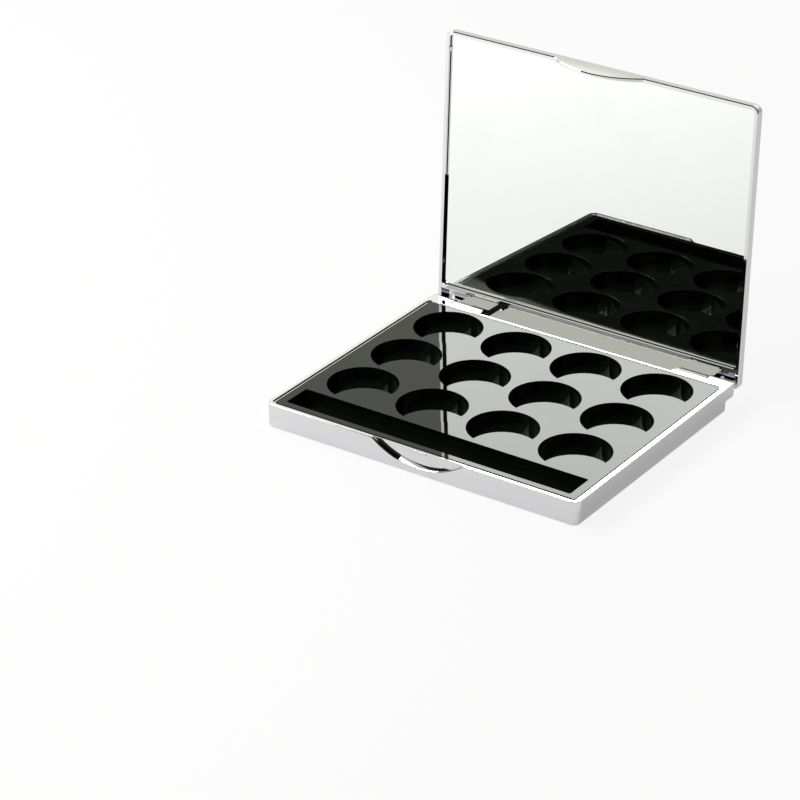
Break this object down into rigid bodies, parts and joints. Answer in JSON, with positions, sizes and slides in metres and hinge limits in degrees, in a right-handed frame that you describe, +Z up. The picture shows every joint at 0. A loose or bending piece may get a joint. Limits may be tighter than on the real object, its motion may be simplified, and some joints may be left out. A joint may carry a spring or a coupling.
{
  "type": "eyeshadow palette",
  "caption": "Slim rectangular chromed make-up palette standing open: black tray with round pan wells and a long brush slot, mirrored lid on a side-pinned hinge.",
  "frame": {"origin": "on the flat underside of the base, below the middle of the closed lid, on the mid-plane between the two sides", "axes": "+X to the user's right along the hinge, +Y from the finger notch at the front towards the hinge, +Z up"},
  "size_m": [0.1324, 0.1211, 0.1156],
  "materials": {
    "chromed_plastic": "vacuum-metallised silver, polished",
    "black_plastic": "high gloss",
    "pin_steel": "drawn wire",
    "tape": "white double-sided foam tape",
    "mirror": "silvered float glass"
  },
  "bodies": {
    "base": {"base_case": "chromed_plastic", "inner_tray": "black_plastic", "hinge_pin_left": "pin_steel", "hinge_pin_right": "pin_steel"},
    "lid": {"lid_cover": "chromed_plastic", "mirror_tape": "tape", "mirror_glass": "mirror"}
  },
  "joints": [
    {"name": "lid_hinge", "type": "hinge", "parent": "base", "child": "lid", "pos_m": [0, 0.0539, 0.00665], "axis": [1, 0, 0], "range_deg": [0, 92.4]}
  ]
}
